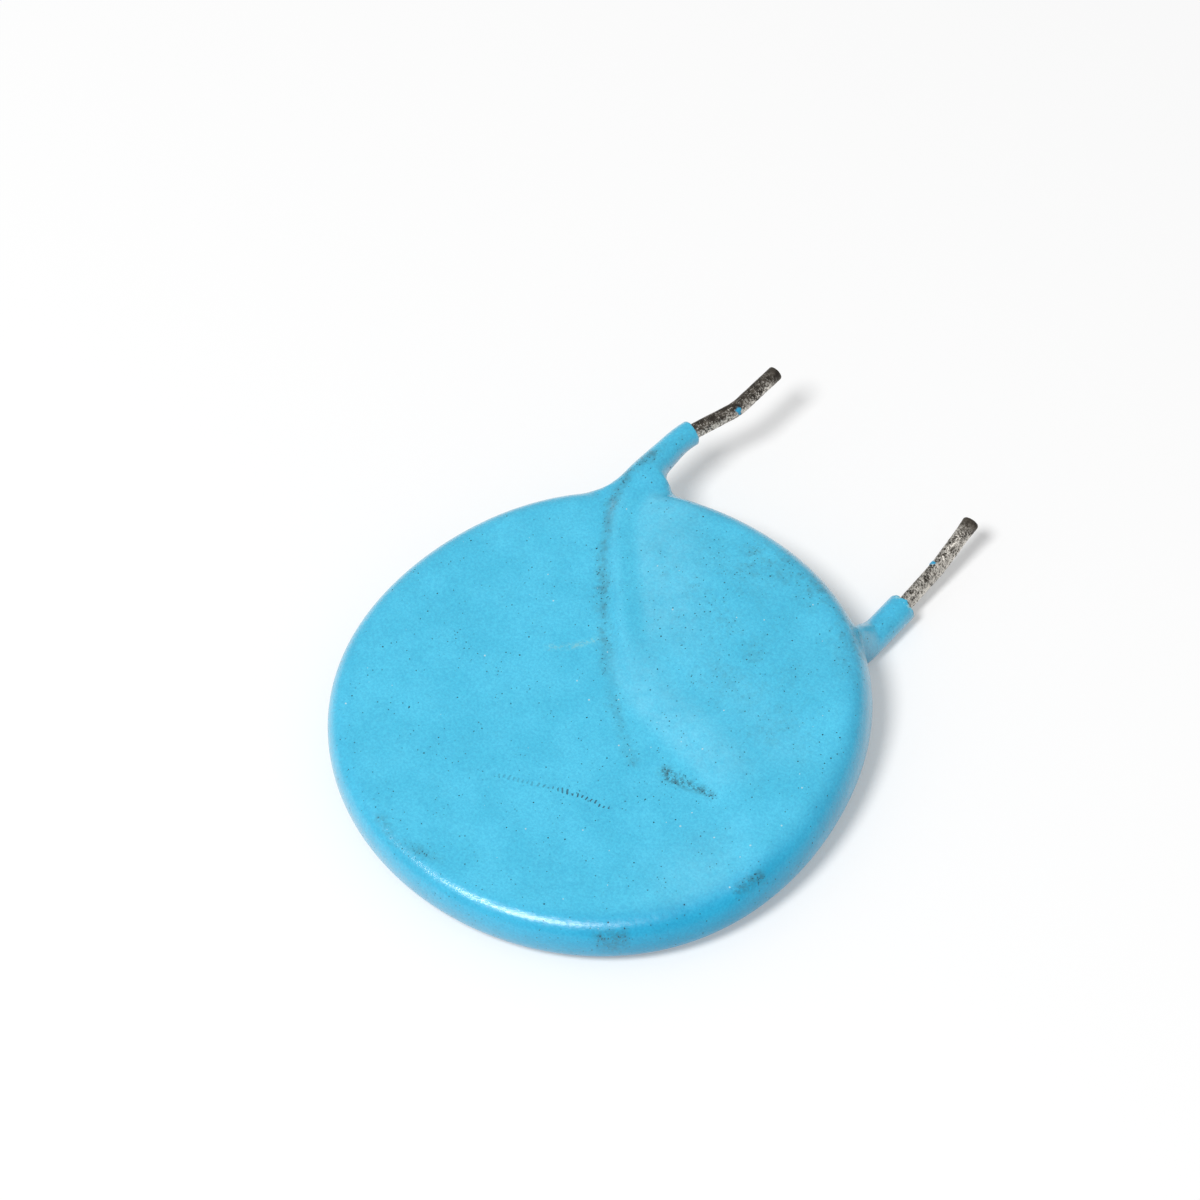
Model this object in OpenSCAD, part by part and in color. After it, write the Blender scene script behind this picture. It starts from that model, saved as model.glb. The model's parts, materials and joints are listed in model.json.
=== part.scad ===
// Disc varistor, 25 mm class: a zinc-oxide disc with a silvered face on each side,
// a tinned wire soldered across each face, and one dipped epoxy coat over all of it.
// Both leads have been cut short. Millimetres, +Z up, leads towards +Y.

/* [Coating] */
// Mean diameter of the coated disc
coat_d = 26.8; // [26.4:0.1:28]
// Thickness of the coated disc where no wire or web lifts it
coat_t = 2.8; // [2.7:0.05:3.2]
// Width of the rounded rim, seen from above
rim_w = 1.15; // [0.9:0.05:1.3]
// Extra rim width on the side away from the leads, where the coat sagged
rim_sag = 0.55; // [0:0.05:0.6]
// How far the web of epoxy between the leads stands above the flat, beside the wire
web_h = 0.32; // [0:0.02:0.4]
// How much higher the web swells farther from the wire
swell_h = 0.12; // [0:0.02:0.2]
// Epoxy over the top of a wire, at the crest of its ridge
crest_coat = 0.12; // [0.08:0.01:0.25]
// Radius of the neck on the front lead, at its open end
front_neck_r = 0.67; // [0.6:0.01:0.8]
// Radius of the neck on the back lead
back_neck_r = 0.77; // [0.6:0.01:0.8]

/* [Ceramic] */
// Diameter of the zinc-oxide disc
ceramic_d = 24; // [22:0.1:24.4]
// Thickness of the zinc-oxide disc
ceramic_t = 1.7; // [1.4:0.05:1.8]
// Chamfer pressed on both edges of the zinc-oxide disc
ceramic_chamfer = 0.15; // [0.05:0.05:0.3]
// Diameter of the silver electrode on each face
electrode_d = 22.4; // [20:0.1:23]
// Thickness of the silver electrode
electrode_t = 0.05; // [0.03:0.01:0.08]

/* [Wires] */
// Diameter of the tinned wire
wire_d = 0.8; // [0.6:0.05:0.9]
// Distance between the two leads where they cross the rim
lead_pitch = 14.2; // [13:0.1:15]
// How far the middle between the leads lies beside the middle of the disc
leads_aside = -0.15; // [-0.3:0.05:0.3]
// Straight run of the wire across the middle of the electrode
cross_run = 3; // [2:0.1:4]
// Turn from the cross run into the slanting run
cross_turn = 36; // [30:1:42]
// Radius of that turn
cross_r = 9; // [7:0.5:11]
// Slanting run towards the rim
slant_run = 4.8; // [4:0.1:6]
// Radius of the turn from the slanting run to the direction of the leads
rim_r = 6.5; // [5:0.5:8]
// Bare end of each lead, straight up to the cut
tip_run = 2.6; // [2.2:0.1:3]

/* [Resting pose] */
// Slope of the disc about X, as it lies on the ridge and neck under it
lie_x = 1.73; // [0:0.01:3]
// Slope of the disc about Y
lie_y = -0.4; // [-1:0.01:1]
// Middle of the disc, from the point under the middle of the whole part
lie_at = [0.01, -3.99, 1.774]; // [-10:0.001:10]

/* [Hidden] */
$fn = 64;

coat_r = coat_d / 2;
half_t = coat_t / 2;
wire_r = wire_d / 2;
face_z = ceramic_t / 2 + electrode_t;      // top of an electrode
film_t = 0.02;                             // solder film between a wire and its electrode
wire_z = face_z + film_t + wire_r;         // axis of a wire, from the middle of the disc
crest_h = wire_r + crest_coat;             // crest of a ridge, from the wire's axis
lead_x = leads_aside - lead_pitch / 2;     // where the front lead crosses the rim
cross_heading = 170;                       // heading of the cross run, from +X
knee_y = 12.4;                             // where a wire comes parallel to +Y

// A wire is a chain of bends: straight run, turn, radius of the turn, and the side it
// turns to, measured about the wire from its left (0 left, 90 up, 180 right, 270 down).
on_disc = [
    [0.3, 20, 10, 0],
    [cross_run, cross_turn, cross_r, 180],
    [slant_run, cross_heading - cross_turn - 90, rim_r, 180],
];
front_bends = concat(on_disc, [[1.9, 19, 5, 180], [1.95, 17, 3, 0], [tip_run, 0, 1, 0]]);
back_bends = concat(on_disc, [[2.75, 5, 6, 270], [2.15, 10, 4, 260], [tip_run, 0, 1, 0]]);

// ---- Frames along a wire: X to its left, Y away from the ceramic, Z along it ---------

function move(v) = [[1, 0, 0, v.x], [0, 1, 0, v.y], [0, 0, 1, v.z], [0, 0, 0, 1]];
function turn_x(a) = [[1, 0, 0, 0], [0, cos(a), -sin(a), 0], [0, sin(a), cos(a), 0], [0, 0, 0, 1]];
function turn_y(a) = [[cos(a), 0, sin(a), 0], [0, 1, 0, 0], [-sin(a), 0, cos(a), 0], [0, 0, 0, 1]];
function turn_z(a) = [[cos(a), -sin(a), 0, 0], [sin(a), cos(a), 0, 0], [0, 0, 1, 0], [0, 0, 0, 1]];
function origin(m) = [m[0][3], m[1][3], m[2][3]];
function at(m, v) = let (p = m * [v.x, v.y, v.z, 1]) [p.x, p.y, p.z];
function last(v) = v[len(v) - 1];

// The frame after turning by the angle a of the bend b, from frame m
function bent(m, b, a) =
    m * turn_z(b[3]) * move([b[2] * (1 - cos(a)), 0, b[2] * sin(a)]) * turn_y(a) * turn_z(-b[3]);

// A frame about every step along the bends, from bend i on
function frames(bends, m, step, i = 0) =
    i == len(bends) ? [m] :
    let (b = bends[i],
         runs = ceil(b[0] / step),
         arcs = ceil(b[1] * PI / 180 * b[2] / step),
         knee = m * move([0, 0, b[0]]))
    concat([for (k = [0 : 1 : runs - 1]) m * move([0, 0, b[0] * k / runs])],
           [for (k = [0 : 1 : arcs - 1]) bent(knee, b, b[1] * k / arcs)],
           frames(bends, bent(knee, b, b[1]), step, i + 1));

// The toe, the wire's end on the electrode, is placed so that the lead comes out at lead_x
toe_turned = turn_z(cross_heading - on_disc[0][1] + 90) * turn_x(90);
toe_at = [lead_x, knee_y, wire_z] - origin(last(frames(on_disc, toe_turned, 100)));
toe_frame = move(toe_at) * toe_turned;

// The wire along its bends. Each turn is drawn a hair thinner than the straight runs, as
// bending leaves it, and its ends are buried in them.
bend_thin = 0.005;
bury = 0.1;
module run_wire(bends, i = 0) {
    b = bends[i];
    cylinder(r = wire_r, h = b[0]);
    translate([0, 0, b[0]]) rotate(b[3]) {
        extra = b[1] > 0 ? bury / b[2] * 180 / PI : 0;
        if (b[1] > 0)
            rotate(180) translate([-b[2], 0, 0]) rotate([90, 0, 0]) rotate(-extra)
                rotate_extrude(angle = b[1] + 2 * extra) translate([b[2], 0]) circle(wire_r - bend_thin);
        if (i + 1 < len(bends))
            translate([b[2] * (1 - cos(b[1])), 0, b[2] * sin(b[1])]) rotate([0, b[1], 0]) rotate(-b[3])
                run_wire(bends, i + 1);
    }
}

// The back of the disc is the front, turned over about the line between the leads
function turned_over(p) = [2 * leads_aside - p.x, p.y];
module turned_over() {
    translate([2 * leads_aside, 0, 0]) rotate([0, 180, 0]) children();
}

// ---- Outer form of the coat ----------------------------------------------------------

sectors = 96;
ring_steps = 11;      // rings on each face
rim_steps = 10;       // steps round the rim, from face to face

// Drips and the dip itself leave the outline a little out of round
lumps = [[2, 0.04, 43], [3, 0.10, -34], [4, 0.12, -42], [5, 0.05, -16]];   // [waves, height, crest angle]
sag_spread = 35;      // angle over which the sag dies away to each side
function lump(a, i = 0) =
    i == len(lumps) ? 0 : lumps[i][1] * cos(lumps[i][0] * (a - lumps[i][2])) + lump(a, i + 1);
function outline_r(a) = coat_r + lump(a);

function wrapped(a) = a > 180 ? a - 360 : a;
function rim_at(a) = rim_w + rim_sag * exp(-pow(wrapped(a) / sag_spread, 2));

function smooth(t) = let (c = min(max(t, 0), 1)) c * c * (3 - 2 * c);

// The web covers the side of the wire that faces the other lead. Its edge is the wire's
// route on the disc, carried on from the toe to the rim.
web_outlet = [[13.2, -6.2, 0], [12.1, -4.2, 0], [10.9, -2.4, 0], [9.6, -0.9, 0]];
web_edge_step = 1.2;
past_rim_y = 15;
web_edge = concat(web_outlet,
                  [for (m = frames(on_disc, toe_frame, web_edge_step)) origin(m)],
                  [[lead_x, past_rim_y, 0]]);
web_rise = [-1, 1.2];      // where the web begins and ends to rise, from its edge
swell_rise = [0.7, 4.3];   // and where it swells
web_fall = 0.32;           // share by which the web thins towards the rim
fall_reach = [7, 13];      // distances from the middle between which it thins

// Distance of p from the run a-b, positive on its right
function beside(p, a, b) =
    let (d = [b.x - a.x, b.y - a.y],
         v = [p.x - a.x, p.y - a.y],
         t = min(max((v * d) / (d * d), 0), 1))
    norm(v - t * d) * (d.x * v.y - d.y * v.x > 0 ? -1 : 1);
function nearer(a, b) = abs(a) < abs(b) ? a : b;
function beside_edge(p, i = 0) =
    let (s = beside(p, web_edge[i], web_edge[i + 1]))
    i + 2 == len(web_edge) ? s : nearer(s, beside_edge(p, i + 1));
function rise(v, reach) = smooth((v - reach[0]) / (reach[1] - reach[0]));
function face_at(p) =
    let (s = beside_edge(p),
         web = web_h * rise(s, web_rise) + swell_h * rise(s, swell_rise))
    half_t + web * (1 - web_fall * rise(norm([p.x, p.y]), fall_reach));

// One ring of the coat, reach 0 to 1 from the middle to the rim's start, on the side of
// the given sign; or round the rim at the angle roll from straight up
function ring(reach, roll, side) = [
    for (k = [0 : sectors - 1])
        let (a = 360 * k / sectors,
             w = rim_at(a),
             r = (outline_r(a) - w) * reach,
             p = [r * cos(a), r * sin(a)],
             z = face_at(side > 0 ? p : turned_over(p)) * abs(cos(roll)),
             q = r + w * sin(roll))
        [q * cos(a), q * sin(a), side * z]
];

function face_rings(side) = [for (k = [1 : ring_steps]) ring(k / ring_steps, 0, side)];
function rim_rings(side) = [for (k = [1 : rim_steps / 2 - 1]) ring(1, 180 * k / rim_steps, side)];
function reversed(v) = [for (k = [len(v) - 1 : -1 : 0]) v[k]];
function flat(v) = [for (row = v) for (p = row) p];

// A closed skin over a stack of rings of n points, with a point at each end
module skin(start, rings, end) {
    n = len(rings[0]);
    m = len(rings);
    tip = n * m + 1;
    polyhedron(
        points = concat([start], flat(rings), [end]),
        faces = concat(
            [for (k = [0 : n - 1]) [0, 1 + (k + 1) % n, 1 + k]],
            [for (j = [0 : m - 2], k = [0 : n - 1])
                let (a = 1 + j * n + k, b = 1 + j * n + (k + 1) % n)
                each [[a, b, b + n], [a, b + n, a + n]]],
            [for (k = [0 : n - 1]) [tip, 1 + (m - 1) * n + k, 1 + (m - 1) * n + (k + 1) % n]]
        )
    );
}

module dipped_disc() {
    skin([0, 0, face_at([0, 0])],
         concat(face_rings(1), rim_rings(1), [ring(1, 90, 1)], reversed(rim_rings(-1)), reversed(face_rings(-1))),
         [0, 0, -face_at(turned_over([0, 0]))]);
}

// A sheath is the coat over one wire: a ridge on the face, flared into a neck past the rim.
front_sheath = concat(on_disc, [[1.9, 15, 5, 180], [0.1, 0, 1, 0]]);
back_sheath = concat(on_disc, [[2.85, 0, 1, 0]]);
sheath_step = 0.75;
sheath_points = 24;
toe_cover = 2;        // length over which the ridge rises ahead of the toe
ridge_left_toe = 2.0; // half width of the ridge near the toe, on the side away from the web
ridge_half = 0.95;    // half width of the ridge elsewhere
ridge_narrows = 18;   // distance from the toe at which the ridge has narrowed
sunk = 0.3;           // how deep the ridge's own underside is buried
foot_sunk = 0.03;     // how deep the ridge's feet are sunk in the face
free_reach = [-1.1, 0.5];  // distances past the rim between which a ridge turns into a neck
root_reach = [-0.8, 0];    // and between which its underside comes free of the disc
taper_reach = [0, 3.5];    // and over which a neck grows slimmer
drop_reach = [0, 1.6];     // and over which the flare under it dies away
front_taper = 0.14;   // how much thicker the front neck is at the rim
neck_drop = 1.0;      // how far the flare reaches down the rim
lip_r = 0.2;          // rounding at a neck's open end
outer_fillet_r = 3.6; // plan fillet between neck and rim, on the outer side
inner_fillet_r = 1.0; // and on the side of the other lead

function mix(a, b, t) = a + (b - a) * t;

// Extra half width of a neck at height y, where a plan fillet of radius f runs into the rim.
// side is 1 on the outer side of the lead, -1 on the inner side.
function fillet(y, r, f, side) =
    let (cx = lead_pitch / 2 + side * (r + f),
         cy = sqrt(pow(coat_r + f, 2) - cx * cx),
         e = min(max(cy - y, 0), f * cy / (coat_r + f)))
    f - sqrt(f * f - e * e);

// Closed outline of the sheath in frame m, t along from the toe, with e left to the open end
function sheath_ring(m, t, e, neck_r, taper) =
    let (p = origin(m),
         out = norm([p.x, p.y]) - outline_r(atan2(p.y, p.x)),
         free = rise(out, free_reach),
         lip = e < lip_r ? lip_r - sqrt(lip_r * lip_r - pow(lip_r - e, 2)) : 0,
         r = neck_r + taper * (1 - rise(out, taper_reach)) - lip,
         left = mix(mix(ridge_left_toe, ridge_half, smooth(t / ridge_narrows)),
                    r + fillet(p.y, r, outer_fillet_r, 1), free),
         right = mix(ridge_half, r + fillet(p.y, r, inner_fillet_r, -1), free),
         started = rise(t, [-toe_cover, 0]),
         root = rise(out, root_reach),
         depth = mix(sunk, r + neck_drop * (1 - rise(out, drop_reach)), root))
    [for (k = [0 : sheath_points - 1])
        let (u = cos(360 * k / sheath_points),
             v = -sin(360 * k / sheath_points),
             x = u * (u > 0 ? left : right),
             q = at(m, [x, 0, 0]),
             foot = (face_at(q) - wire_z - foot_sunk) * (1 - free),
             crest = mix(mix(foot, crest_h, started), r, free),
             bell = mix(pow(1 - u * u, 2), abs(v), free))
        at(m, [x, v >= -0.01 ? mix(foot, crest, bell) : -depth * mix(1, abs(v), root), 0])];

function run_length(bends) = [for (b = bends) b[0] + b[1] * PI / 180 * b[2]] * [for (b = bends) 1];

module sheath(bends, neck_r, taper) {
    lead_in = [[toe_cover, 0, 1, 0]];
    lips = [1, 0.5, 0.2, 0.05, 0] * lip_r;
    whole = run_length(bends);
    body = frames(concat(lead_in, bends), toe_frame * move([0, 0, -toe_cover]), sheath_step);
    end = last(body);
    far = len(body) - 2;
    skin(origin(body[0]),
         concat([for (k = [0 : far]) sheath_ring(body[k], -toe_cover + (whole + toe_cover) * k / (far + 1),
                                                 lip_r, neck_r, taper)],
                [for (e = lips) sheath_ring(end * move([0, 0, -e]), whole, e, neck_r, taper)]),
         origin(end));
}

// ---- Pieces --------------------------------------------------------------------------

module lying() {
    translate(lie_at) rotate([lie_x, -lie_y, 0]) children();
}

module ceramic() {
    c = ceramic_chamfer;
    r = ceramic_d / 2;
    h = ceramic_t / 2;
    rotate_extrude() polygon([[0, -h], [r - c, -h], [r, c - h], [r, h - c], [r - c, h], [0, h]]);
}

module electrode(side) {
    translate([0, 0, side * (ceramic_t + electrode_t) / 2])
        cylinder(d = electrode_d, h = electrode_t, center = true);
}

module wire(bends) {
    translate(toe_at) rotate([90, 0, cross_heading - on_disc[0][1] + 90]) run_wire(bends);
}

// Solder banks up against both sides of the wire, from the toe to the slanting run
solder_foot = 0.85;   // half width on the electrode
solder_side = [0.62, -0.26];
solder_top = [0.48, -0.02];
solder_seat = 0.004;  // gap in which the wire sits
solder_onto = 2;      // length of the slanting run that it covers
solder_step = 1;
groove_points = 11;
groove_lip = 4;       // angle by which the groove stops short of the wire's half height
function mirrored(q) = [-q.x, q.y];
solder_bank = [[solder_foot, -wire_r - film_t], solder_side, solder_top];
solder_outline = concat(solder_bank, [for (q = reversed(solder_bank)) mirrored(q)]);
solder_groove = [
    for (k = [0 : groove_points - 1])
        let (a = groove_lip + (180 - 2 * groove_lip) * k / (groove_points - 1))
        (wire_r + solder_seat) * [-cos(a), -sin(a)]
];

module along_toe(section) {
    route = frames([on_disc[0], on_disc[1], [solder_onto, 0, 1, 0]], toe_frame, solder_step);
    n = len(section);
    far = n * (len(route) - 1);
    polyhedron(
        points = [for (m = route, q = section) at(m, [q.x, q.y, 0])],
        faces = concat(
            [[for (k = [0 : n - 1]) k]],
            [for (j = [0 : len(route) - 2], k = [0 : n - 1])
                let (a = j * n + k, b = j * n + (k + 1) % n)
                each [[a, a + n, b + n], [a, b + n, b]]],
            [[for (k = [n - 1 : -1 : 0]) far + k]]
        )
    );
}

module solder() {
    along_toe(concat([solder_outline[5], solder_outline[0], solder_outline[1], solder_outline[2]],
                     reversed(solder_groove), [solder_outline[3], solder_outline[4]]));
}

module coat_outside() {
    dipped_disc();
    sheath(front_sheath, front_neck_r, front_taper);
    turned_over() sheath(back_sheath, back_neck_r, 0);
}

module epoxy_coating() {
    color("deepskyblue") lying() difference() {
        coat_outside();
        ceramic();
        electrode(1);
        electrode(-1);
        wire(front_bends);
        along_toe(solder_outline);
        turned_over() {
            wire(back_bends);
            along_toe(solder_outline);
        }
    }
}

module zinc_oxide_disc() { color("dimgray") lying() ceramic(); }
module front_electrode() { color("silver") lying() electrode(1); }
module back_electrode() { color("silver") lying() electrode(-1); }
module front_lead() { color("gray") lying() wire(front_bends); }
module back_lead() { color("gray") lying() turned_over() wire(back_bends); }
module front_solder() { color("lightgray") lying() solder(); }
module back_solder() { color("lightgray") lying() turned_over() solder(); }

epoxy_coating();
zinc_oxide_disc();
front_electrode();
back_electrode();
front_lead();
back_lead();
front_solder();
back_solder();
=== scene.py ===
"""Looks of a dipped disc varistor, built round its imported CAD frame.

Lengths are in millimetres until a mesh is made.
"""

import json
import math

import bmesh
import bpy
import numpy as np
from mathutils import Matrix, Vector, noise


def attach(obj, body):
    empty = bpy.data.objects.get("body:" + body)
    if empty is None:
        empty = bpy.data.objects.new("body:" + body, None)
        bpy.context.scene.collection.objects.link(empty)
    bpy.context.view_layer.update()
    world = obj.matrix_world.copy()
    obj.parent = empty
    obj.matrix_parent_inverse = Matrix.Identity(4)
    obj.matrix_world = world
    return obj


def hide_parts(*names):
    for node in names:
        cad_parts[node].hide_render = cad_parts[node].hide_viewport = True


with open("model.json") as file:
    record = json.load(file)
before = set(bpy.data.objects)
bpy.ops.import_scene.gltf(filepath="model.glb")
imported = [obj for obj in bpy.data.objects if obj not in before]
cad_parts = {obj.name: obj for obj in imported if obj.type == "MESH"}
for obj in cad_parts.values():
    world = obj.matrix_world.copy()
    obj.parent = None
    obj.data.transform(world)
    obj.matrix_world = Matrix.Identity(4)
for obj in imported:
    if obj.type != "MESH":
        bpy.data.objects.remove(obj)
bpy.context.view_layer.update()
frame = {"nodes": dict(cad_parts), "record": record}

MM = 0.001

# ---- Driving dimensions, as in the part's source -------------------------------------

COAT_R = 13.4            # mean radius of the coated disc
HALF_T = 1.4             # half thickness of the flat coat
RIM_W = 1.15             # width of the rounded rim
RIM_SAG = 0.55           # extra width of the rim on the side of +X
SAG_SPREAD = 35          # degrees over which it sags
LUMPS = ((2, 0.04, 43), (3, 0.10, -34), (4, 0.12, -42), (5, 0.05, -16))   # waves, height, crest angle
WIRE_R = frame["record"]["mounts"][0]["dims"]["r_mm"]
CREST_COAT = 0.12        # epoxy over the top of a wire
WIRE_Z = 1.32            # axis of a wire above the middle of the disc
LEAD_PITCH = 14.2        # between the leads
LEADS_ASIDE = -0.15      # middle between the leads, beside the middle of the disc
LEAD_X = LEADS_ASIDE - LEAD_PITCH / 2
KNEE_Y = 12.4            # where a wire comes parallel to +Y
CROSS_HEADING = 170      # heading of the cross run, in degrees from +X
TIP_RUN = 2.6
# Bends of a wire: straight run, turn, radius of the turn, side it turns to
ON_DISC = [(0.3, 20, 10, 0), (3, 36, 9, 180), (4.8, 44, 6.5, 180)]
FRONT_BENDS = ON_DISC + [(1.9, 19, 5, 180), (1.95, 17, 3, 0), (TIP_RUN, 0, 1, 0)]
BACK_BENDS = ON_DISC + [(2.75, 5, 6, 270), (2.15, 10, 4, 260), (TIP_RUN, 0, 1, 0)]
# The stretch of each wire that the coat covers
FRONT_SHEATH = ON_DISC + [(1.9, 15, 5, 180), (0.1, 0, 1, 0)]
BACK_SHEATH = ON_DISC + [(2.85, 0, 1, 0)]

# ---- Frames: the disc's own, and those along a wire ----------------------------------


def disc_frame():
    """Disc frame to row frame, from where the ceramic lies: origin at its middle, Z its axis, X level."""
    co = np.array([v.co for v in frame["nodes"]["zinc_oxide_disc"].data.vertices], float) / MM
    middle = (co.min(0) + co.max(0)) / 2
    normal = Vector(np.linalg.svd(co - middle, full_matrices=False)[2][2])
    if normal.z < 0:
        normal.negate()
    across = Vector((normal.z, 0, -normal.x)).normalized()
    m = Matrix((across, normal.cross(across), normal)).transposed().to_4x4()
    return Matrix.Translation(middle) @ m


def turn(axis, degrees):
    return Matrix.Rotation(math.radians(degrees), 4, axis)


def bent(m, bend, degrees):
    radius, side = bend[2:]
    a = math.radians(degrees)
    reach = Matrix.Translation((radius * (1 - math.cos(a)), 0, radius * math.sin(a)))
    return m @ turn("Z", side) @ reach @ turn("Y", degrees) @ turn("Z", -side)


def chain(bends, step):
    """Frames from a wire's toe on: X to its left, Y away from the ceramic, Z along it."""
    frames = [Matrix.Identity(4)]
    for bend in bends:
        run, angle, radius = bend[:3]
        start, steps = frames[-1], math.ceil(run / step)
        frames += [start @ Matrix.Translation((0, 0, run * k / steps)) for k in range(1, steps + 1)]
        start, steps = frames[-1], math.ceil(math.radians(angle) * radius / step)
        frames += [bent(start, bend, angle * k / steps) for k in range(1, steps + 1)]
    return frames


TOE_TURNED = turn("Z", CROSS_HEADING - ON_DISC[0][1] + 90) @ turn("X", 90)
WHOLE_BENDS = 100        # a step longer than any run or turn, so that each is one step
TOE_AT = Vector((LEAD_X, KNEE_Y, WIRE_Z)) - (TOE_TURNED @ chain(ON_DISC, WHOLE_BENDS)[-1]).translation
TOE = Matrix.Translation(TOE_AT) @ TOE_TURNED
TURNED_OVER = Matrix.Translation((2 * LEADS_ASIDE, 0, 0)) @ turn("Y", 180)
DISC = disc_frame()


def wire_frames(bends, step):
    return [TOE @ m for m in chain(bends, step)]


# ---- Form of the coat, as a field that is below zero inside it, in the disc frame -----
# A range is a pair of places between which something rises from nothing to its full size.
# "Across" is the distance from the web's edge, positive over the web, "along" the distance
# along the wire from its toe, and "out" the distance beyond the disc's outline.

RIM_POWER = 2.3          # roundness of the rim's shoulder, 2 for an ellipse
FACES_MEET = (-0.35, 0.35)       # height over which the back face's form gives way to the front's
FROM_TOE = (-0.85, 0.65, 7.7)    # along = x, y and 1 times these

# The web's edge runs from the rim to the wire's toe, and then along the wire
STEP_OUT = [(13.3, -6.0), (12.6, -4.6), (11.8, -3.3), (11.0, -2.15), (10.15, -1.0)]
EDGE_STEP = 0.8
PAST_RIM_Y = 15
ON_WIRE = [m.translation[:2] for m in wire_frames(ON_DISC, EDGE_STEP)]
WEB_EDGE = STEP_OUT + ON_WIRE + [(LEAD_X, PAST_RIM_Y)]

CREST_H = WIRE_Z + WIRE_R + CREST_COAT - HALF_T   # crest of a ridge, above the flat
RIDGE_FROM = (-3, -0.5)          # along, where the ledge before the toe turns into the wire's step
RIDGE_ALONE = (8.5, 12.5)        # along, where the step turns into a ridge with a saddle beside it
LEDGE_H = 0.36                   # the web before the toe, above the flat
LEDGE_RISE = (-1.2, 1.4)         # across
STEP_DIP = 0.04                  # top of the step, below a crest
STEP_RISE = (-1.9, 0.6)          # across
SWELL_H = 0.2                    # how much higher the web swells beyond the step
SWELL_RISE = (1.0, 4.6)          # across
SWELL_FROM = (1, 5)              # along
RIDGE_LEFT, RIDGE_RIGHT = 0.95, 0.9   # half widths of a ridge that stands alone
SADDLE_H = 0.35                  # between the ridge and the web, above the flat
SADDLE_SWELL = 0.3               # how much higher the web swells beyond the saddle
SADDLE_RISE = (0.6, 4.0)         # across
WEB_FALL = 0.45                  # share of its height that the web loses towards the rim
FALL_RADIUS = (8, 13)            # from the middle of the disc
FALL_ACROSS = (1, 4)
FALL_ALONG = (4, 9)


def smooth(t):
    c = np.clip(t, 0, 1)
    return c * c * (3 - 2 * c)


def rise(value, reach):
    """From 0 at the first end of the reach to 1 at the second."""
    return smooth((value - reach[0]) / (reach[1] - reach[0]))


def mix(a, b, t):
    return a + (b - a) * t


def bell(t):
    return (1 - np.clip(np.abs(t), 0, 1) ** 2) ** 2


def join(a, b, width):
    """Union of two fields with a fillet of about the given width."""
    t = np.clip(0.5 + 0.5 * (b - a) / width, 0, 1)
    return mix(b, a, t) - width * t * (1 - t)


def cut(a, b, width):
    return -join(-a, -b, width)


def beside(x, y, line):
    """Distance of points from a line, positive on its right, and how far along it they are."""
    best = np.full(x.shape, np.inf)
    side, along, start = np.ones(x.shape), np.zeros(x.shape), 0.0
    for (ax, ay), (bx, by) in zip(line[:-1], line[1:]):
        dx, dy = bx - ax, by - ay
        run = math.hypot(dx, dy)
        t = np.clip(((x - ax) * dx + (y - ay) * dy) / run**2, 0, 1)
        gx, gy = x - ax - t * dx, y - ay - t * dy
        gap = gx * gx + gy * gy
        closer = gap < best
        best = np.where(closer, gap, best)
        side = np.where(closer, np.where(gx * dy > gy * dx, 1.0, -1.0), side)
        along = np.where(closer, start + t * run, along)
        start += run
    return side * np.sqrt(best), along


def web_place(x, y):
    """Across and along, for points in the plane of the disc."""
    across, _ = beside(x, y, WEB_EDGE)
    return across, FROM_TOE[0] * x + FROM_TOE[1] * y + FROM_TOE[2]


def angle_at(x, y):
    return np.degrees(np.arctan2(y, x))


def outline_radius(degrees):
    lumps = sum(height * np.cos(np.radians(waves * (degrees - crest))) for waves, height, crest in LUMPS)
    return COAT_R + lumps


def rim_width(degrees):
    return RIM_W + RIM_SAG * np.exp(-((degrees / SAG_SPREAD) ** 2))


def face_height(x, y):
    """Height of the front face above the middle of the disc: the flat, the web and the wire's ridge."""
    across, along = web_place(x, y)
    step = (CREST_H - STEP_DIP) * rise(across, STEP_RISE)
    step = step + SWELL_H * rise(across, SWELL_RISE) * rise(along, SWELL_FROM)
    left = CREST_H * bell(across / RIDGE_LEFT)
    right = SADDLE_H + (CREST_H - SADDLE_H) * bell(across / RIDGE_RIGHT)
    right = right + SADDLE_SWELL * rise(across, SADDLE_RISE)
    ridge = mix(step, np.where(across < 0, left, right), rise(along, RIDGE_ALONE))
    ledge = LEDGE_H * rise(across, LEDGE_RISE)
    fall = rise(np.hypot(x, y), FALL_RADIUS) * rise(across, FALL_ACROSS) * rise(along, FALL_ALONG)
    return HALF_T + mix(ledge, ridge, rise(along, RIDGE_FROM)) * (1 - WEB_FALL * fall)


def disc_field(x, y, z):
    degrees = angle_at(x, y)
    width = rim_width(degrees)
    top = face_height(x, y)
    under = face_height(2 * LEADS_ASIDE - x, y)
    high = mix(under, top, rise(z, FACES_MEET))
    u = np.maximum(0, (np.hypot(x, y) - outline_radius(degrees) + width) / width)
    v = np.abs(z) / high
    return (np.power(u**RIM_POWER + v**RIM_POWER, 1 / RIM_POWER) - 1) * high


# ---- Necks, where the coat runs out along the leads -----------------------------------

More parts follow.
